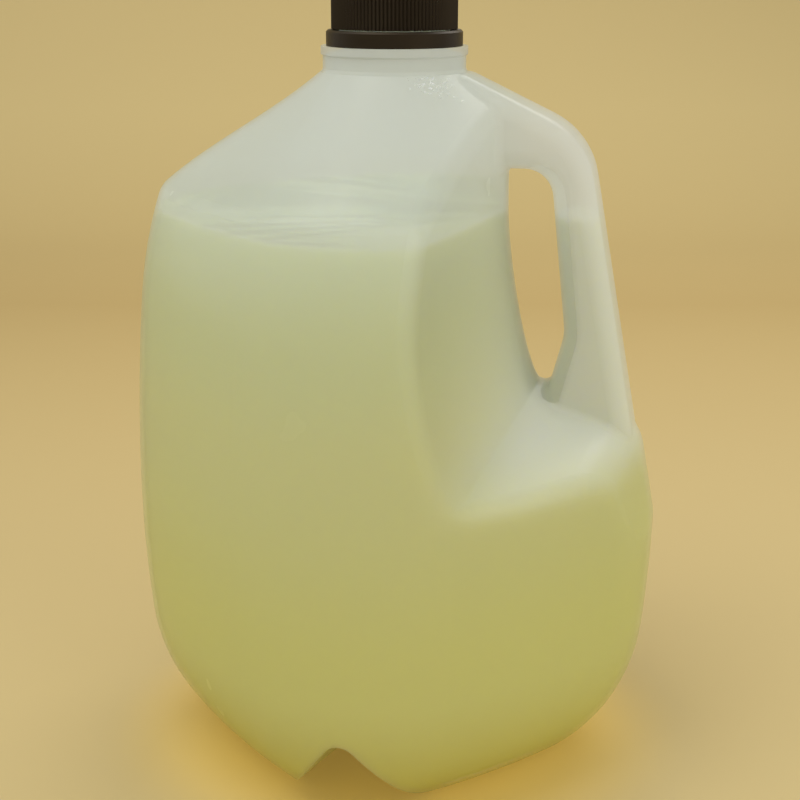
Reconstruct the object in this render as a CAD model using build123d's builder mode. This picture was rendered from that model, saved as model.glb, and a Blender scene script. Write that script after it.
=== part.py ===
from build123d import *
from math import atan2, degrees, hypot, radians, sqrt, tan
import os

# Lemonade jug: a blow-moulded bottle with a hollow handle at one corner, its drink, and a screw cap
# with a liner and a tamper band. Millimetres, +Z up, origin at the centre of the base. The square
# plan stands on its corners: the handle is at the +X corner, and the mould parts on the plane Y = 0.

# Walls and clearances
wall = 0.8  # blown wall
fill_gap = 0.3  # between the wall and the drink
turning_gap = 0.3  # between the cap and the band that stays behind

# Levels, from the surface it stands on
crease_z = 190.0  # where the sides meet the shoulder
fill_z = 184.0  # level of the drink
shoulder_h = 36.5
neck_h = 4.9  # from the shoulder to the underside of the bead
bead_h = 3.0
finish_h = 13.0  # from the top of the bead to the rim of the mouth
neck_z = crease_z + shoulder_h
bead_z = neck_z + neck_h
finish_z = bead_z + bead_h
mouth_z = finish_z + finish_h

# Plan: a square with bowed sides and round corners
side_bow = 150.0  # how far behind the axis each side's arc is centred
plan_margin = 24.5  # half the straight square that the corners' arcs are set in
mould_reach = 100.0  # how far forms are drawn out from the parting plane, past the corners

# Upright profile of the sides: half side of the square at each level, joined by arcs
base_half_side = 49.0
heel_half_side = 77.2
heel_z = 45.0
widest_half_side = 79.4
widest_z = 88.0
waist_half_side = 76.2
waist_z = 155.0
crease_half_side = 68.5
crease_r = 9.0

# Neck and mouth
neck_base_r = 23.3  # where the shoulder meets the neck
neck_root = 11.0  # how far the neck's form reaches down into the shoulder
neck_r = 22.6  # waist under the bead
bead_r = 23.2
finish_r = 17.4  # outside of the finish that the cap screws on
mouth_r = 16.2
flange_t = 1.2  # thickness of the step from the bead in to the finish
catch_r = 19.9  # ring that holds the tamper band down
catch_z = finish_z + 1.3
catch_h = 2.5

# Shoulder, from above the crease to the neck: level, half side, radius of its corners, side bow
shoulder = [
    (crease_z + 13.5, 52.8, 38.0, 100.0),
    (crease_z + 26.5, 35.4, 30.5, 40.0),
    (neck_z, neck_base_r, neck_base_r - 0.3, 2.0),
]

# Recess for the fingers, round the inside of the handle
recess_x = 37.4  # its wall at the parting plane
recess_nose_r = 30.0  # rounding of that wall about the parting plane
recess_draft = 0.2  # how fast the recess falls back towards the sides
recess_fall = 0.29  # and how fast it drops
recess_bend_z = crease_z - 1.0  # where the wall starts to curve out into the ledge
recess_ledge_x = 49.6  # where the ledge starts
recess_ledge_z = 129.4
recess_bend_pull = 0.36  # how full the curve between wall and ledge is
recess_corner_x = 82.0  # where the ledge turns down the jug's corner
recess_corner_z = 119.0
recess_foot_x = 92.0
recess_foot_z = 66.0
recess_corner_turn = 10.0  # length over which the ledge turns down
recess_rim_r = 8.0

# Handle, in the parting plane
handle_width = 27.0
handle_edge_r = 6.0
bar_x = 24.4  # a point on the top of the bar, beside the neck
bar_z = neck_z - 0.5
bar_slope = 25.3  # degrees down from level
grip_x = 64.7  # a point on the outside of the grip
grip_z = crease_z + 4.4
grip_lean = 10.6  # degrees out from upright, going down
elbow_r = 26.0
hole_top_x = 51.2  # top corner of the finger hole, on the grip
hole_top_z = crease_z + 8.0
hole_corner_r = 9.0
hole_bottom_x = 57.0  # where the grip's inside turns back to the body
hole_bottom_z = 146.0
hole_bottom_r = 16.0
handle_foot_x = 44.0
handle_foot_z = 96.0
handle_start_r = 9.0  # corners of its outline inside the neck
handle_foot_r = 14.0  # and inside the body
handle_root_r = 3.0  # seams where it runs into the body

# Channel across the base, along the way the mould opens
channel_middle_depth = 14.0
channel_end_depth = 46.0
channel_middle_half_width = 20.0
channel_end_half_width = 38.0
channel_apex_r = 6.0
channel_foot_r = 10.0

# Cap, liner and tamper band
rib_count = 100
rib_depth = 0.5
cap_r = 19.85  # over the ribs
cap_bore_r = 18.6
cap_top_t = 1.2
cap_edge_r = 1.2
liner_r = 18.2
liner_t = 1.4
band_r = 21.5
band_h = 4.9
band_wall = 1.1
band_lip_h = 0.9
band_lip_r = 18.9


def plan_arcs(margin, bow):
    """How far out a bowed square's corners are centred, and the half angle of their arcs."""
    reach = sqrt(bow**2 / 2 + margin**2 + 2 * margin * bow) - bow / sqrt(2)
    return reach, degrees(atan2(bow / sqrt(2), reach + bow / sqrt(2)))


def bowed_square(z, half_side, corner_r, bow):
    """A rounded square that stands on its corner, its sides bowed outwards by long arcs."""
    reach, split = plan_arcs(half_side - corner_r, bow)
    with BuildSketch(Plane.XY.offset(z)) as plan:
        with BuildLine():
            for turn in (0, 90, 180, 270):
                corner = Vector(reach, 0).rotate(Axis.Z, turn)
                CenterArc(corner, corner_r, turn - split, 2 * split)
                behind = Vector(-bow, 0).rotate(Axis.Z, turn + 45)
                CenterArc(behind, half_side + bow, turn + split, 90 - 2 * split)
        make_face()
    return plan.sketch


def side_profile(inset):
    """The upright profile of the sides, moved inwards: its arcs, its foot and its top."""
    with BuildLine(mode=Mode.PRIVATE):
        high = TangentArc((widest_half_side, widest_z), (waist_half_side, waist_z), tangent=(0, 1))
        top = TangentArc(high @ 1, (crease_half_side, crease_z), tangent=high % 1)
        low = TangentArc((widest_half_side, widest_z), (heel_half_side, heel_z), tangent=(0, -1))
        foot = TangentArc(low @ 1, (base_half_side, 0), tangent=low % 1)
    waist, crease = [arc @ 1 + inset * (arc % 1).rotate(Axis.Z, 90) for arc in (high, top)]
    heel, base = [arc @ 1 - inset * (arc % 1).rotate(Axis.Z, 90) for arc in (low, foot)]
    widest = Vector(widest_half_side - inset, widest_z)
    with BuildLine() as profile:
        TangentArc(widest, waist, tangent=(0, 1))
        TangentArc(waist, crease, tangent=high % 1)
        TangentArc(widest, heel, tangent=(0, -1))
        TangentArc(heel, base, tangent=low % 1)
    return profile.line, base, crease


def side_sector(profile, turn, centre_x, shift, inner, half_angle):
    """One stretch of the sides: the profile, shifted, turned about the centre of a plan arc."""
    arcs, base, crease = profile
    outwards = Vector(shift, 0)
    centre = Vector(centre_x, 0, 0).rotate(Axis.Z, turn)
    start = Vector(1, 0, 0).rotate(Axis.Z, turn - half_angle)
    with BuildPart() as sector:
        with BuildSketch(Plane(origin=centre, x_dir=start, z_dir=start.rotate(Axis.Z, -90))):
            with BuildLine():
                add(arcs.moved(Location(outwards)))
                Polyline(base + outwards, (inner, base.Y), (inner, crease.Y), crease + outwards)
            make_face()
        revolve(axis=Axis(centre, (0, 0, 1)), revolution_arc=2 * half_angle)
    return sector.part


def sides_form(inset):
    """The sides from the base to the crease: four bowed stretches and the four corners between."""
    profile = side_profile(inset)
    reach, split = plan_arcs(plan_margin, side_bow)
    hollow = side_bow - plan_margin
    with BuildPart() as form:
        for turn in (0, 90, 180, 270):
            add(side_sector(profile, turn + 45, -side_bow, side_bow, hollow, 45 - split))
        for turn in (0, 90, 180, 270):
            add(side_sector(profile, turn, reach, -plan_margin, 0, split))
    return form.part, profile[2]


def shoulder_form(crease, inset):
    """The shoulder: from the plan at the crease up to the round base of the neck."""
    first = (crease.Y, crease.X, crease.X - plan_margin, side_bow)
    rows = [first]
    for before, row, after in zip([first] + shoulder, shoulder, shoulder[1:] + shoulder[-1:]):
        rise, run = after[0] - before[0], after[1] - before[1]
        inwards, upwards = inset * rise / hypot(rise, run), inset * run / hypot(rise, run)
        rows.append((row[0] + upwards, row[1] - inwards, row[2] - inwards, row[3]))
    with BuildPart() as form:
        loft([bowed_square(*row) for row in rows])
    return form.part


def recess_outline(outset):
    """The recess in the parting plane: its wall, the curve to its ledge, and the corner below."""
    wall_x = recess_x - outset
    bend = Vector(wall_x, recess_bend_z)
    ledge = Vector(recess_ledge_x, recess_ledge_z - outset)
    corner = Vector(recess_corner_x - outset, recess_corner_z - outset)
    foot = Vector(recess_foot_x - outset, recess_foot_z)
    outwards = (corner - ledge).normalized()
    downwards = (foot - corner).normalized()
    turn_start = corner - recess_corner_turn * outwards
    turn_end = corner + recess_corner_turn * downwards
    far_x, far_z = 2 * widest_half_side, 2 * mouth_z
    with BuildSketch(Plane.XZ) as outline:
        with BuildLine():
            Polyline((far_x, far_z), (wall_x, far_z), bend)
            Bezier(
                bend,
                bend - Vector(0, recess_bend_pull * (bend.Y - ledge.Y)),
                ledge - recess_bend_pull * (ledge.X - bend.X) * outwards,
                ledge,
            )
            Line(ledge, turn_start)
            Bezier(turn_start, corner, turn_end)
            Polyline(turn_end, foot, (far_x, recess_foot_z), (far_x, far_z))
        make_face()
    return outline.sketch


def recess_form(outset):
    """The recess: its outline drawn out to both sides of the parting plane, falling back and down."""
    outline = recess_outline(outset)
    with BuildPart() as recess:
        for way in (-1, 1):
            outwards = Vector(-recess_draft, way, -recess_fall)
            extrude(outline, amount=mould_reach * outwards.length, dir=outwards.normalized())
        nose = recess.edges().filter_by_position(Axis.Y, -0.01, 0.01)
        fillet(nose.filter_by_position(Axis.X, 0, recess_corner_x), recess_nose_r - outset)
    return recess.part


def channel_outline(y, depth, half_width, outset):
    """The channel across the base in one plane: straight flanks, a rounded roof and rounded feet."""
    reach, below = 1.6 * half_width, -5
    with BuildSketch(Plane.XZ.offset(-y)) as outline:
        with BuildLine():
            FilletPolyline(
                (-reach, -0.2),
                (-half_width, -0.2),
                (0, depth),
                (half_width, -0.2),
                (reach, -0.2),
                radius=[channel_foot_r, channel_apex_r, channel_foot_r],
            )
            Polyline((reach, -0.2), (reach, below), (-reach, below), (-reach, -0.2))
        make_face()
        if outset:
            offset(amount=outset, kind=Kind.INTERSECTION)
    return outline.sketch


def channel_form(outset):
    """The channel across the base, deeper and wider towards its two ends."""
    end = (channel_end_depth, channel_end_half_width, outset)
    with BuildPart() as channel:
        loft(
            [
                channel_outline(-mould_reach, *end),
                channel_outline(0, channel_middle_depth, channel_middle_half_width, outset),
                channel_outline(mould_reach, *end),
            ]
        )
    return channel.part


def handle_form(inset):
    """The handle: a bar from the neck, an elbow and a grip, rounded along its edges."""
    fall, out = tan(radians(bar_slope)), tan(radians(grip_lean))
    start_x = finish_r - 5
    start_z = bar_z + (bar_x - start_x) * fall
    elbow_x = (grip_x + (grip_z - bar_z - bar_x * fall) * out) / (1 - fall * out)
    elbow_z = bar_z - (elbow_x - bar_x) * fall
    grip_foot_x = grip_x + (grip_z - handle_foot_z) * out
    with BuildPart() as handle:
        with BuildSketch(Plane.XZ) as outline:
            with BuildLine():
                FilletPolyline(
                    (start_x, start_z),
                    (elbow_x, elbow_z),
                    (grip_foot_x, handle_foot_z),
                    (handle_foot_x, handle_foot_z),
                    (hole_bottom_x, hole_bottom_z),
                    (hole_top_x, hole_top_z),
                    (start_x, hole_top_z),
                    radius=[
                        handle_start_r,
                        elbow_r,
                        handle_foot_r,
                        handle_foot_r,
                        hole_bottom_r,
                        hole_corner_r,
                        handle_start_r,
                    ],
                    close=True,
                )
            make_face()
            if inset:
                offset(amount=-inset)
        extrude(amount=handle_width / 2 - inset, both=True)
        fillet(handle.faces().filter_by(Axis.Y).edges(), handle_edge_r - inset)
    return handle.part


def neck_form():
    """The neck as the outside shows it: waist, bead, finish and the ring that holds the band."""
    with BuildPart() as neck:
        with BuildSketch(Plane.XZ):
            with BuildLine():
                Polyline(
                    (0, neck_z - neck_root),
                    (neck_base_r, neck_z - neck_root),
                    (neck_base_r, neck_z - 0.7),
                    (neck_r, neck_z + 1.1),
                    (neck_r, bead_z),
                    (bead_r, bead_z + 0.6),
                    (bead_r, finish_z),
                    (finish_r, finish_z),
                    (finish_r, catch_z),
                    (catch_r, catch_z + 0.4),
                    (catch_r, catch_z + 1.2),
                    (finish_r, catch_z + catch_h),
                    (finish_r, mouth_z),
                    (0, mouth_z),
                    close=True,
                )
            make_face()
        revolve(axis=Axis.Z)
    return neck.part


def neck_cavity(inset):
    """The hollow of the neck, open at the mouth."""
    with BuildPart() as hollow:
        with BuildSketch(Plane.XZ):
            with BuildLine():
                Polyline(
                    (0, neck_z - neck_root),
                    (neck_base_r - inset, neck_z - neck_root),
                    (neck_base_r - inset, neck_z - 0.7),
                    (neck_r - inset, neck_z + 1.1),
                    (neck_r - inset, finish_z - flange_t - 1.5),
                    (mouth_r, finish_z - flange_t),
                    (mouth_r, mouth_z + 1),
                    (0, mouth_z + 1),
                    close=True,
                )
            make_face()
        revolve(axis=Axis.Z)
    return hollow.part


def jug_form(inset):
    """The jug's outside (inset 0), or the same form moved inwards, for its cavity and its drink."""
    body, crease = sides_form(inset)
    with BuildPart() as form:
        add(body)
        add(shoulder_form(crease, inset))
        creases = form.edges().filter_by_position(Axis.Z, crease.Y - 0.1, crease.Y + 0.1)
        fillet(creases, crease_r - inset)
        add(recess_form(inset), mode=Mode.SUBTRACT)
        fillet(form.edges(Select.NEW), recess_rim_r - inset)
        add(channel_form(inset), mode=Mode.SUBTRACT)
        add(handle_form(inset))
        fillet(form.edges(Select.NEW), handle_root_r + inset)
        if inset:
            split(bisect_by=Plane.XY.offset(inset), keep=Keep.TOP)
    return form.part


with BuildPart() as jug:
    add(jug_form(0))
    add(neck_form())
    add(jug_form(wall), mode=Mode.SUBTRACT)
    add(neck_cavity(wall), mode=Mode.SUBTRACT)

with BuildPart() as lemonade:
    add(jug_form(wall + fill_gap))
    split(bisect_by=Plane.XY.offset(fill_z), keep=Keep.BOTTOM)

with BuildPart() as tamper_band:
    with BuildSketch(Plane.XZ):
        with BuildLine():
            Polyline(
                (band_lip_r, finish_z),
                (band_r, finish_z),
                (band_r, finish_z + band_h - 0.6),
                (band_r - 0.6, finish_z + band_h),
                (band_lip_r, finish_z + band_h),
                (band_lip_r, finish_z + band_h - band_wall),
                (band_r - band_wall, finish_z + band_h - band_wall),
                (band_r - band_wall, finish_z + band_lip_h),
                (band_lip_r, finish_z + band_lip_h),
                close=True,
            )
        make_face()
    revolve(axis=Axis.Z)

cap_bottom_z = finish_z + band_h + turning_gap
cap_ceiling_z = mouth_z + liner_t
cap_top_z = cap_ceiling_z + cap_top_t

with BuildPart() as screw_cap:
    with BuildSketch(Plane.XZ):
        with BuildLine():
            Polyline((0, cap_top_z), (0, cap_bottom_z), (cap_r - rib_depth, cap_bottom_z))
            Line((cap_r - rib_depth, cap_bottom_z), (cap_r - rib_depth, cap_top_z - cap_edge_r))
            RadiusArc(
                (cap_r - rib_depth, cap_top_z - cap_edge_r),
                (cap_r - rib_depth - cap_edge_r, cap_top_z),
                -cap_edge_r,
            )
            Line((cap_r - rib_depth - cap_edge_r, cap_top_z), (0, cap_top_z))
        make_face()
    revolve(axis=Axis.Z)
    with BuildSketch(Plane.XY.offset(cap_bottom_z)):
        with BuildLine():
            ribs = [
                Vector(cap_r - rib_depth * (i % 2), 0).rotate(Axis.Z, 180 * i / rib_count)
                for i in range(2 * rib_count)
            ]
            Polyline(*ribs, close=True)
        make_face()
    extrude(amount=cap_top_z - cap_edge_r - cap_bottom_z)
    with BuildSketch(Plane.XY.offset(cap_bottom_z)):
        Circle(cap_bore_r)
    extrude(amount=cap_ceiling_z - cap_bottom_z, mode=Mode.SUBTRACT)

with BuildPart() as cap_liner:
    with BuildSketch(Plane.XY.offset(mouth_z)):
        Circle(liner_r)
    extrude(amount=liner_t)

jug.part.label = "jug"
lemonade.part.label = "lemonade"
screw_cap.part.label = "screw_cap"
cap_liner.part.label = "cap_liner"
tamper_band.part.label = "tamper_band"

os.makedirs("parts", exist_ok=True)
export_step(jug.part, "parts/jug.step")
export_step(lemonade.part, "parts/lemonade.step")
export_step(screw_cap.part, "parts/screw_cap.step")
export_step(cap_liner.part, "parts/cap_liner.step")
export_step(tamper_band.part, "parts/tamper_band.step")
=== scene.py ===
# %% [markdown]
# A jug of lemonade.
# The real thing is a blow-moulded bottle of natural polyethylene, cloudy and half clear, with a
# pale yellow drink inside and a ribbed near-black screw cap over a tamper band. Everything here
# is in metres, in the frame of the solids: +Z up along the neck, +X towards the handle. The
# solids are loaded first, so that every piece added later can be placed from what they measure.

# %% Load the solids
import math

import bmesh
import bpy
import numpy as np
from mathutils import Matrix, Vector


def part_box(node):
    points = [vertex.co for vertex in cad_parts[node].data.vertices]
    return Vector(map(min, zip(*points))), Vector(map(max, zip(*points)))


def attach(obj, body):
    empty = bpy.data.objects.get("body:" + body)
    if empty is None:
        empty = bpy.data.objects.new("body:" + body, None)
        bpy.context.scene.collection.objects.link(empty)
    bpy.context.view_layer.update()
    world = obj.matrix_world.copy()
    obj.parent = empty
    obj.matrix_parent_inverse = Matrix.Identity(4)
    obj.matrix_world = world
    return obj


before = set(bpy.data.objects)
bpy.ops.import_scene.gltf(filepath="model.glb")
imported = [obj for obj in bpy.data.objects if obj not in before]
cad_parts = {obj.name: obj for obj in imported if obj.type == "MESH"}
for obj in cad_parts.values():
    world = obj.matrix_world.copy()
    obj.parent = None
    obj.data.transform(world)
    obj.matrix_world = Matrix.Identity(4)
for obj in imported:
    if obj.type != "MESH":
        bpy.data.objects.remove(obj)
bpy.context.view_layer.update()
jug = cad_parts["jug"]
jug_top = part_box("jug")[1].z
fill_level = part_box("lemonade")[1].z
print("jug height", round(jug_top, 4), "drink to", round(fill_level, 4))

# %% [markdown]
# Pictures wrapped round a piece blur up close and stretch on curves, so every finish here is
# built from nodes instead. Adding nodes and links one by one in Python is long-winded. This
# helper takes a node's inputs as a dictionary and makes a link for each socket and a setting for
# anything else.


# %% Helpers that build a material
def new_material(name):
    material = bpy.data.materials.new(name)
    material.use_nodes = True
    material.node_tree.nodes.clear()
    return material


def add_node(material, kind, inputs=None, **settings):
    """A new node; each input is a socket to link from or a plain value to set."""
    node = material.node_tree.nodes.new(kind)
    for key, value in settings.items():
        setattr(node, key, value)
    for key, value in (inputs or {}).items():
        if isinstance(value, bpy.types.NodeSocket):
            material.node_tree.links.new(value, node.inputs[key])
        else:
            node.inputs[key].default_value = value
    return node


def mix_colours(material, share, first, second):
    """The first colour turned into the second by a share: in a colour mix they go in 6 and 7."""
    mix = add_node(material, "ShaderNodeMix", {0: share, 6: first, 7: second}, data_type="RGBA")
    return mix.outputs[2]


def mix_shaders(material, share, first, second):
    return add_node(material, "ShaderNodeMixShader", {0: share, 1: first, 2: second}).outputs[0]


def finish_with(material, shader):
    output = add_node(material, "ShaderNodeOutputMaterial")
    material.node_tree.links.new(shader, output.inputs["Surface"])
    return material


def give(piece, material):
    piece.data.materials.clear()
    piece.data.materials.append(material)


print("materials so far", len(bpy.data.materials))

# %% [markdown]
# Most finishes need the same few patterns: a ramp of colours along a height, and fine noise for
# grain and uneven gloss. They start from Object coordinates, which are the piece's own metres, so
# a pattern sticks to its piece, has its true size and looks the same from every side.


# %% Helpers that make patterns
def place(material):
    return add_node(material, "ShaderNodeTexCoord").outputs["Object"]


def split_place(material):
    return add_node(material, "ShaderNodeSeparateXYZ", {"Vector": place(material)}).outputs


def map_range(material, value, start, end, low=0.0, high=1.0, kind="LINEAR"):
    """A value that runs from start to end, as one that runs from low to high."""
    span = {"From Min": start, "From Max": end, "To Min": low, "To Max": high}
    node = add_node(
        material, "ShaderNodeMapRange", {"Value": value, **span}, interpolation_type=kind
    )
    return node.outputs["Result"]


def between(material, share, low, high):
    return map_range(material, share, 0.0, 1.0, low, high)


def colour_ramp(material, share, stops, kind):
    """Colours along a share: stops are (position from 0 to 1, linear colour)."""
    ramp = add_node(material, "ShaderNodeValToRGB", {"Fac": share})
    elements = ramp.color_ramp.elements
    ramp.color_ramp.interpolation = kind
    while len(elements) < len(stops):
        elements.new(0.5)
    for element, (position, colour) in zip(elements, stops):
        element.position = position
        element.color = (*colour, 1.0)
    return ramp.outputs["Color"]


def height_ramp(material, stops):
    """Colours along Z: stops are (height in metres, linear colour)."""
    low, high = stops[0][0], stops[-1][0]
    share = map_range(material, split_place(material)["Z"], low, high)
    shares = [((height - low) / (high - low), colour) for height, colour in stops]
    return colour_ramp(material, share, shares, "EASE")


def fine_noise(material, scale, detail=3.0):
    """Noise from 0 to 1, with scale as the number of its cells in a metre."""
    inputs = {"Vector": place(material), "Scale": scale, "Detail": detail}
    return add_node(material, "ShaderNodeTexNoise", inputs).outputs["Fac"]


def bump(material, height, distance, strength=1.0, normal=None):
    """A normal for relief of that many metres, on top of another normal where one is given."""
    inputs = {"Height": height, "Distance": distance, "Strength": strength}
    if normal is not None:
        inputs["Normal"] = normal
    return add_node(material, "ShaderNodeBump", inputs).outputs["Normal"]


print("heights run from 0 to", round(jug_top, 4), "m")

# %% [markdown]
# The handle is a thin tube, and beside it the finger recess leaves only a thin layer of drink, so
# both look paler than the body. A true volume would show that by itself, but it renders slowly
# and with much noise. Here a zone with soft edges, past one plane in X and above one in Z, turns
# any colour paler, and the wall and the drink share it.

# %% Paler where the drink is thin
# along each axis, the metres where the change starts and where it is full
thin_zone = {"X": (0.022, 0.052), "Z": (0.098, 0.118)}
thin_most = 0.92  # share of the pale colour there


def paler_where_thin(material, colour, pale):
    """The colour, and the pale one round the handle and its recess."""
    inside = [
        map_range(material, split_place(material)[axis], start, end, kind="SMOOTHSTEP")
        for axis, (start, end) in thin_zone.items()
    ]
    thin = add_node(
        material, "ShaderNodeMath", {0: inside[0], 1: inside[1]}, operation="MULTIPLY"
    )
    share = between(material, thin.outputs[0], 0.0, thin_most)
    return mix_colours(material, share, colour, (*pale, 1.0))


print("thin zone in metres", thin_zone)

# %% [markdown]
# In a cloudy wall light soaks sideways, so the folds round the handle show far less shading than
# they would in paint. The normal is the direction a surface is shaded by. Leaning it towards
# straight out from the jug's axis evens the shading out, at no cost in render time. Only the soft
# part of the finish uses it: the gloss keeps the true normal, so that the folds still catch their
# highlights.

# %% Evened normals
wall_softness = 0.42  # how far the normal leans, from 0 to 1


def flat_place(material, split):
    """The place without its height: straight out from the axis."""
    return add_node(
        material, "ShaderNodeCombineXYZ", {"X": split["X"], "Y": split["Y"]}
    ).outputs[0]


def vector_math(material, operation, inputs):
    return add_node(material, "ShaderNodeVectorMath", inputs, operation=operation).outputs


def soft_normal(material, share):
    """The true normal leaned by that share straight out, or straight in on an inner face."""
    level = flat_place(material, split_place(material))
    out = vector_math(material, "NORMALIZE", {0: level})[0]
    true = add_node(material, "ShaderNodeNewGeometry").outputs["Normal"]
    facing = vector_math(material, "DOT_PRODUCT", {0: true, 1: out})["Value"]
    side = add_node(material, "ShaderNodeMath", {0: facing}, operation="SIGN").outputs[0]
    leaned = vector_math(material, "SCALE", {0: out, "Scale": side})[0]
    mix = add_node(
        material, "ShaderNodeMix", {0: share, 4: true, 5: leaned}, data_type="VECTOR"
    ).outputs[1]
    return vector_math(material, "NORMALIZE", {0: mix})[0]


print("normals lean by", wall_softness)

# %% [markdown]
# Natural polyethylene is neither clear nor white. Some light comes straight back, some soaks
# through and lights the wall from behind, and the rest passes as if through frosted glass. No
# single shader does all three, so a plastic one is mixed with a Translucent one and then with a
# Transparent one. The wall is a solid with two skins, and a ray crosses both. Only the skin that
# a ray enters by gets this mix: the one it leaves by is left clear, or the wall would count
# double.

# %% Blown plastic of the jug
empty_white = (0.72, 0.79, 0.82)  # the wall with air behind it
thin_pale = (0.84, 0.87, 0.84)  # the wall with a thin layer of drink behind it
# below the drink's level the wall takes the drink's tint, and its deepening towards the foot is
# painted shade
wall_tint_and_shade_stops = [
    (0.0, (0.78, 0.77, 0.3)),
    (0.05, (0.76, 0.77, 0.45)),
    (0.12, (0.72, 0.74, 0.55)),
    (fill_level - 0.03, (0.69, 0.74, 0.61)),
    (fill_level + 0.015, empty_white),
    (jug_top, empty_white),
]
wall_clear = 0.3  # share of the light that passes straight through the wall
wall_soaked = 0.5  # share of the rest that soaks through it
wall_gloss = (0.2, 0.3)
gloss_scale = 30.0
ripple = {"scale": 55.0, "detail": 2.0, "depth": 0.0006, "strength": 0.25}
grain = {"scale": 900.0, "detail": 2.0, "depth": 0.00003, "strength": 0.6}


def relief(material, kind, under=None):
    height = fine_noise(material, kind["scale"], kind["detail"])
    return bump(material, height, kind["depth"], kind["strength"], under)


def blown_plastic():
    material = new_material("natural_polyethylene")
    colour = paler_where_thin(material, height_ramp(material, wall_tint_and_shade_stops), thin_pale)
    rippled = relief(material, ripple)
    grained = relief(material, grain, rippled)
    gloss = between(material, fine_noise(material, gloss_scale), *wall_gloss)
    evened = soft_normal(material, wall_softness)
    plastic = add_node(
        material,
        "ShaderNodeBsdfPrincipled",
        {
            "Base Color": colour,
            "Roughness": gloss,
            "Specular IOR Level": 0.0,
            "Normal": evened,
            "Coat Weight": 1.0,
            "Coat Roughness": gloss,
            "Coat IOR": 1.5,
            "Coat Normal": grained,
        },
    )
    glow = add_node(material, "ShaderNodeBsdfTranslucent", {"Color": colour, "Normal": evened})
    clear = add_node(material, "ShaderNodeBsdfTransparent", {"Color": (1.0, 1.0, 1.0, 1.0)})
    soaked = mix_shaders(material, wall_soaked, plastic.outputs[0], glow.outputs[0])
    leaving = add_node(material, "ShaderNodeNewGeometry").outputs["Backfacing"]
    passing = between(material, leaving, wall_clear, 1.0)
    return finish_with(material, mix_shaders(material, passing, soaked, clear.outputs[0]))


give(jug, blown_plastic())
print("jug finish", jug.data.materials[0].name, "on", len(jug.data.polygons), "faces")

# %% [markdown]
# The drink is cloudy with pulp: light goes in, scatters for a few centimetres and comes out again.
# A glass-like material would be far too clear. Subsurface scattering does what the pulp does, so
# the body of the jug glows evenly. Red and green light travel further in it than blue, which keeps
# the glow yellow. The colour deepens towards the foot. That is painted shade: it stands in for the
# light soaked up on its way down through the drink, and for the amber light that comes up off the
# floor.

# %% Lemonade
# the drink's colour up its height, deepening towards the foot as painted shade
drink_and_shade_stops = [
    (0.0, (0.73, 0.68, 0.1)),
    (0.06, (0.74, 0.73, 0.19)),
    (0.14, (0.75, 0.75, 0.3)),
    (fill_level, (0.74, 0.77, 0.42)),
]
drink_pale = (0.8, 0.82, 0.66)
drink_gloss = (0.12, 0.2)
cloud_scale, cloud_detail = 14.0, 4.0


def cloudy_drink():
    material = new_material("cloudy_lemonade")
    colour = paler_where_thin(material, height_ramp(material, drink_and_shade_stops), drink_pale)
    cloud = fine_noise(material, cloud_scale, cloud_detail)
    drink = add_node(
        material,
        "ShaderNodeBsdfPrincipled",
        {
            "Base Color": colour,
            "Roughness": between(material, cloud, *drink_gloss),
            "Normal": soft_normal(material, wall_softness),
            "IOR": 1.34,
            "Subsurface Weight": 1.0,
            "Subsurface Radius": (1.0, 0.9, 0.4),
            "Subsurface Scale": 0.02,
        },
    )
    return finish_with(material, drink.outputs[0])


give(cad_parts["lemonade"], cloudy_drink())
print("drink finish to", round(fill_level, 4), "m")

# %% [markdown]
# The cap and the tamper band are moulded in one near-black plastic, a touch brown, with the soft
# shine of polypropylene. Their ribs are in the solids, so relief isn't needed for those. One flat
# colour would look like a hole in the picture: fine speckle makes the shine uneven, and a slow
# mottle moves the colour a little.

# %% Cap and band
cap_low, cap_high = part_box("screw_cap")
cap_dark, cap_light = (0.005, 0.003, 0.001, 1), (0.012, 0.008, 0.004, 1)
cap_gloss = (0.36, 0.5)
mottle_scale, speckle_scale = 60.0, 700.0
speckle_depth, speckle_strength = 0.00002, 0.5


def cap_plastic():
    material = new_material("near_black_cap_plastic")
    speckle = fine_noise(material, speckle_scale)
    mottle = mix_colours(material, fine_noise(material, mottle_scale), cap_dark, cap_light)
    plastic = add_node(
        material,
        "ShaderNodeBsdfPrincipled",
        {
            "Base Color": mottle,
            "Roughness": between(material, speckle, *cap_gloss),
            "IOR": 1.35,
            "Specular Tint": (1.0, 0.8, 0.55, 1),
            "Normal": bump(material, speckle, speckle_depth, speckle_strength),
        },
    )
    return finish_with(material, plastic.outputs[0])


black = cap_plastic()
give(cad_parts["screw_cap"], black)
give(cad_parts["tamper_band"], black)
print("cap from", round(cap_low.z, 4), "to", round(cap_high.z, 4))

# %% [markdown]
# The liner that seals the mouth is white foam sheet, seen only when the cap is off or raised.
# Foam is a pack of tiny cells with walls between them. A Voronoi pattern is just that: it
# measures how far each point lies from the middle of its cell, which serves for both relief and
# roughness.

# %% Liner
foam_gloss = (0.5, 0.7)
cell_scale = 2500.0
cell_depth, cell_strength = 0.00004, 0.5


def liner_foam():
    material = new_material("white_foam_sheet")
    cells = add_node(
        material, "ShaderNodeTexVoronoi", {"Vector": place(material), "Scale": cell_scale}
    ).outputs["Distance"]
    foam = add_node(
        material,
        "ShaderNodeBsdfPrincipled",
        {
            "Base Color": (0.8, 0.8, 0.77, 1),
            "Roughness": between(material, cells, *foam_gloss),
            "Normal": bump(material, cells, cell_depth, cell_strength),
        },
    )
    return finish_with(material, foam.outputs[0])


give(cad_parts["cap_liner"], liner_foam())
print("foam cells", round(1000 / cell_scale, 2), "mm wide")

# %% [markdown]
# A screw cap needs its thread. On the finish of the neck one low ridge climbs to the right round
# the wall, and another one inside the cap hangs half a pitch away from it, so that the two slide
# past each other as the cap turns. Bump could only paint it on, and it would vanish from the
# side. So both are swept here: a small trapezoid is carried along a helix and shrinks to nothing
# at the ends, the way a mould runs a thread out.

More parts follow.
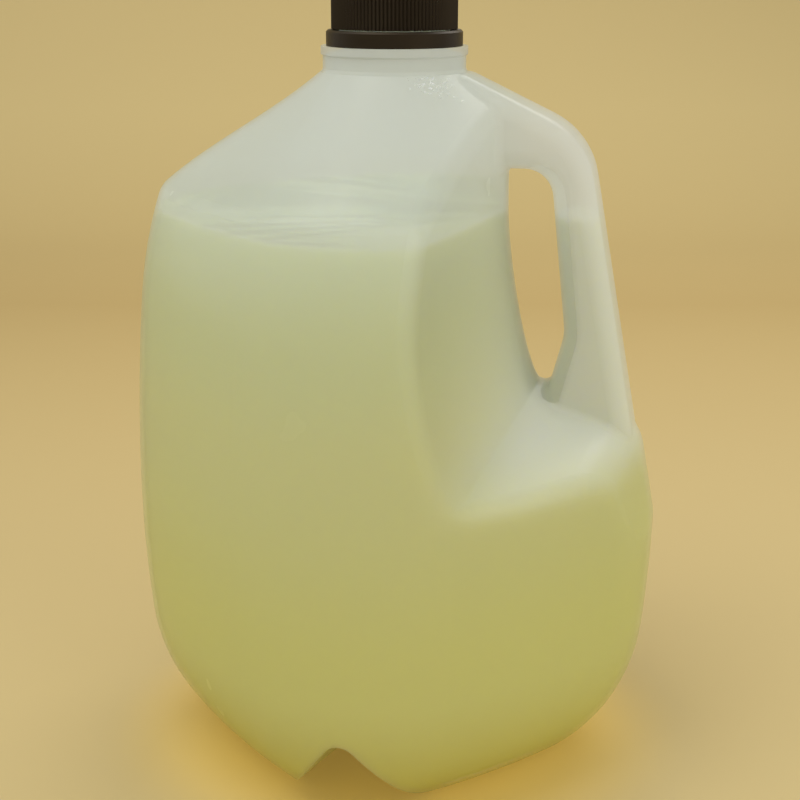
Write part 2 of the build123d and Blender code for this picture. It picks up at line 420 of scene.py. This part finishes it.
# %% Screw threads
thread_pitch = 0.00423
thread_turns = 1.15
thread_start = 0.2409  # height of the middle of the neck's ridge where it starts
thread_rise = 0.00085  # how far the ridge stands off its wall
thread_width = 0.0016  # at the wall
thread_crest = 0.0006
thread_sink = 0.0001  # how far the ridge is sunk into its wall
thread_steps = 140
run_out_rate = 9.0  # the ridge takes a ninth of its length to reach its full height
finish_radius = 0.0174
cap_bore_radius = 0.0186


def add_piece(name, mesh, material):
    """A new object from a finished bmesh."""
    data = bpy.data.meshes.new(name)
    mesh.to_mesh(data)
    mesh.free()
    piece = bpy.data.objects.new(name, data)
    bpy.context.scene.collection.objects.link(piece)
    give(piece, material)
    return piece


def thread_corners(rise):
    """The trapezoid: how far out from the wall and how far up each corner lies."""
    foot, crest = thread_width / 2, thread_crest / 2
    return (-thread_sink, -foot), (rise, -crest), (rise, crest), (-thread_sink, foot)


def thread(name, wall_radius, outwards, start, body, material):
    """A ridge along a right-handed helix, out of a round wall (1) or in from it (-1)."""
    mesh = bmesh.new()
    sections = []
    for i in range(thread_steps + 1):
        turn = thread_turns * i / thread_steps
        angle = 2 * math.pi * turn
        run_out = min(1.0, run_out_rate * min(i, thread_steps - i) / thread_steps)
        middle = start + thread_pitch * turn
        section = []
        for out, up in thread_corners(thread_rise * math.sin(run_out * math.pi / 2)):
            radius = wall_radius + outwards * out
            spot = (radius * math.cos(angle), radius * math.sin(angle), middle + up)
            section.append(mesh.verts.new(spot))
        sections.append(section)
    for near, far in zip(sections, sections[1:]):
        for k in range(4):
            mesh.faces.new((near[k], near[(k + 1) % 4], far[(k + 1) % 4], far[k]))
    mesh.faces.new(sections[0])
    mesh.faces.new(sections[-1])
    bmesh.ops.recalc_face_normals(mesh, faces=mesh.faces)
    ridge = add_piece(name, mesh, material)
    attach(ridge, body)
    return ridge


neck_thread = thread("neck_thread", finish_radius, 1, thread_start, "bottle", jug.data.materials[0])
cap_thread = thread(
    "cap_thread", cap_bore_radius, -1, thread_start + thread_pitch / 2, "cap", black
)
print("threads", len(neck_thread.data.polygons), "and", len(cap_thread.data.polygons), "faces")

# %% [markdown]
# The drink is cold, so a little damp air has settled on the wall beside the neck as tiny beads. A
# pattern in the wall's own material couldn't stand off it, so each bead is a small flattened
# ball. A ray shot straight down finds where the wall is and which way it faces, and the ball is
# turned to lie on it. All the beads are one mesh, and a fixed seed gives the same beads in each
# run.

# %% Condensation beads
bead_count = 170
bead_middle = (0.016, -0.019)  # the patch that they lie on, seen from above
bead_spread = (0.006, 0.005)
bead_gathering = 0.6  # under 1 draws them in towards the middle of the patch
bead_radius, bead_growth = 0.00012, 0.0003  # the smallest, and how much larger the largest is
bead_flatness = 0.5
neck_foot = 0.2262  # no bead lies higher than this
least_upward = 0.2  # nor where the wall faces up less than this
ray_height = 0.3  # the rays start here, above the cap
bead_clear = 0.72  # share of the light that passes straight through a bead
film_scale, film_gloss = 800.0, (0.03, 0.09)
bead_random = np.random.default_rng(7)


def clear_water():
    material = new_material("water_beads")
    film = add_node(
        material,
        "ShaderNodeBsdfPrincipled",
        {
            "Base Color": (0.86, 0.9, 0.9, 1),
            "Roughness": between(material, fine_noise(material, film_scale), *film_gloss),
            "IOR": 1.33,
        },
    )
    clear = add_node(material, "ShaderNodeBsdfTransparent", {"Color": (1, 1, 1, 1)})
    mixed = mix_shaders(material, bead_clear, film.outputs[0], clear.outputs[0])
    return finish_with(material, mixed)


def add_bead(mesh, radius, spot, normal):
    turn = normal.to_track_quat("Z", "Y").to_matrix().to_4x4()
    bead = bmesh.ops.create_icosphere(mesh, subdivisions=2, radius=radius)["verts"]
    bmesh.ops.scale(mesh, vec=(1, 1, bead_flatness), verts=bead)
    bmesh.ops.transform(mesh, matrix=turn, verts=bead)
    bmesh.ops.translate(mesh, vec=jug.matrix_world @ spot, verts=bead)


def condensation():
    mesh = bmesh.new()
    made = 0
    for _ in range(bead_count):
        x, y = (
            middle + spread * bead_random.normal() * bead_gathering
            for middle, spread in zip(bead_middle, bead_spread)
        )
        radius = bead_radius + bead_growth * bead_random.random() ** 2
        hit, spot, normal, _ = jug.ray_cast(
            jug.matrix_world.inverted() @ Vector((x, y, ray_height)), Vector((0, 0, -1))
        )
        if not hit or spot.z > neck_foot or normal.z < least_upward:
            continue
        add_bead(mesh, radius, spot, normal)
        made += 1
    for face in mesh.faces:
        face.smooth = True
    beads = add_piece("condensation_beads", mesh, clear_water())
    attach(beads, "bottle")
    return made


print("beads", condensation())

# %% [markdown]
# The photograph has one seamless warm sweep for floor and background. A floor and a wall would
# meet in a line, so one sheet runs flat under the jug and then curves up behind it. It is turned
# to face the camera, and it is stage, not part of the object.

# %% Floor sweep
photo_turn = math.radians(12)  # the camera stands this far round towards the handle
sweep_half_width = 1.6
sweep_front = -1.2
sweep_back = 0.9
sweep_curve = 0.5
sweep_height = 1.6
sweep_steps = 24


def sweep_profile():
    points = [(sweep_front, 0.0)]
    for i in range(sweep_steps + 1):
        angle = math.pi / 2 * i / sweep_steps
        across = sweep_back + sweep_curve * math.sin(angle)
        points.append((across, sweep_curve * (1 - math.cos(angle))))
    return [*points, (sweep_back + sweep_curve, sweep_height)]


def floor_sweep(material):
    mesh = bmesh.new()
    rows = [
        [mesh.verts.new((x, y, z)) for x in (-sweep_half_width, sweep_half_width)]
        for y, z in sweep_profile()
    ]
    for near, far in zip(rows, rows[1:]):
        mesh.faces.new((near[0], near[1], far[1], far[0])).smooth = True
    sweep = add_piece("floor_sweep", mesh, material)
    sweep.rotation_euler.z = photo_turn
    return sweep


print("sweep", len(sweep_profile()), "rows")

# %% [markdown]
# The sheet is warm buff paper. Painted shade darkens it towards the back of the floor, and it is
# lighter again above it.
# Light that has passed through the drink falls on the paper round the jug's foot in amber. Tracing
# it would take very many rays, since the light is bent and scattered on its way, so the paper
# itself turns amber there and glows a little.

# %% Paper of the sweep
paper_depth = (-0.2, 1.2)  # from the near end of the colours to the far one
# the paper's colour, with painted shade darkest at the back of the floor
paper_and_shade_stops = [(0.0, (0.52, 0.42, 0.2)), (0.62, (0.45, 0.33, 0.13)), (1.0, (0.6, 0.48, 0.22))]
amber = (0.66, 0.46, 0.1, 1.0)
amber_reach = (0.045, 0.105)  # full up to the first distance from the axis, gone at the second
amber_glow = 0.26  # strength of the glow where it is full
paper_gloss = (0.75, 0.85)
blotch_scale = 12.0


def warm_paper():
    material = new_material("warm_paper_sweep")
    split = split_place(material)
    depth = map_range(material, split["Y"], *paper_depth)
    buff_and_shade = colour_ramp(material, depth, paper_and_shade_stops, "LINEAR")
    distance = vector_math(material, "LENGTH", {0: flat_place(material, split)})["Value"]
    near = map_range(material, distance, *amber_reach, 1.0, 0.0, kind="SMOOTHSTEP")
    colour = mix_colours(material, near, buff_and_shade, amber)
    paper = add_node(
        material,
        "ShaderNodeBsdfPrincipled",
        {
            "Base Color": colour,
            "Emission Color": amber,
            "Emission Strength": between(material, near, 0.0, amber_glow),
            "Roughness": between(material, fine_noise(material, blotch_scale), *paper_gloss),
        },
    )
    return finish_with(material, paper.outputs[0])


floor = floor_sweep(warm_paper())
print("paper amber out to", amber_reach[1], "m from the axis")

# %% [markdown]
# The camera stands where the photographer stood: a little above the cap's height, close enough
# for strong perspective, looking down and turned a few degrees towards the handle. A longer lens
# from further off would frame the jug as large but flatten it. The place comes from the distance,
# height and angles that line the solids up with the photograph.

# %% Camera
camera_distance = 0.485
camera_height = 0.261
camera_pitch = math.radians(16.4)
photo_pixels = 800
focal_pixels = 1505.0
axis_pixel = 394.5  # the column of the picture that the neck's axis falls on
sensor_width = 36.0

camera_data = bpy.data.cameras.new("photo_camera")
camera = bpy.data.objects.new("photo_camera", camera_data)
bpy.context.scene.collection.objects.link(camera)
camera.location = (
    camera_distance * math.sin(photo_turn),
    -camera_distance * math.cos(photo_turn),
    camera_height,
)
camera.rotation_euler = (math.pi / 2 - camera_pitch, 0.0, photo_turn)
camera_data.sensor_width = sensor_width
camera_data.lens = sensor_width * focal_pixels / photo_pixels
camera_data.shift_x = (photo_pixels / 2 - axis_pixel) / photo_pixels
bpy.context.scene.camera = camera
print("lens", round(camera_data.lens, 1), "mm at", [round(v, 3) for v in camera.location])

# %% [markdown]
# The light is a bright, even room with three large soft lamps: one high on the left, a weaker one
# on the right, and one behind, which shines through the edges of the jug. Small lamps would draw
# hard spots on the wall, and large ones keep the highlights broad. The room gives most of the
# light, so that colours render about as they are written.

# %% Lights
aim = Vector((0.0, 0.0, jug_top / 2))
lamps = [
    # name, place, width and height, watts, colour
    ("window", (-0.3, -0.25, 0.95), (0.7, 0.7), 4.2, (1.0, 0.98, 0.95)),
    ("bounce", (0.8, -0.4, 0.6), (0.8, 0.8), 2.0, (1.0, 0.97, 0.92)),
    ("behind", (0.2, 0.75, 0.9), (0.9, 0.5), 4.0, (1.0, 0.98, 0.96)),
]
room_colour, room_strength = (1.0, 0.98, 0.95, 1.0), 0.76


def soft_light(name, spot, size, power, colour):
    data = bpy.data.lights.new(name, "AREA")
    data.shape = "RECTANGLE"
    data.size, data.size_y = size
    data.energy = power
    data.color = colour
    lamp = bpy.data.objects.new(name, data)
    bpy.context.scene.collection.objects.link(lamp)
    lamp.location = spot
    lamp.rotation_euler = (aim - Vector(spot)).to_track_quat("-Z", "Y").to_euler()
    lamp.visible_camera = False  # from other sides it would show as a grey sheet


for lamp_row in lamps:
    soft_light(*lamp_row)
world = bpy.data.worlds.new("room")
world.use_nodes = True
background = world.node_tree.nodes["Background"]
background.inputs["Color"].default_value = room_colour
background.inputs["Strength"].default_value = room_strength
bpy.context.scene.world = world
bpy.context.scene.view_settings.view_transform = "Standard"
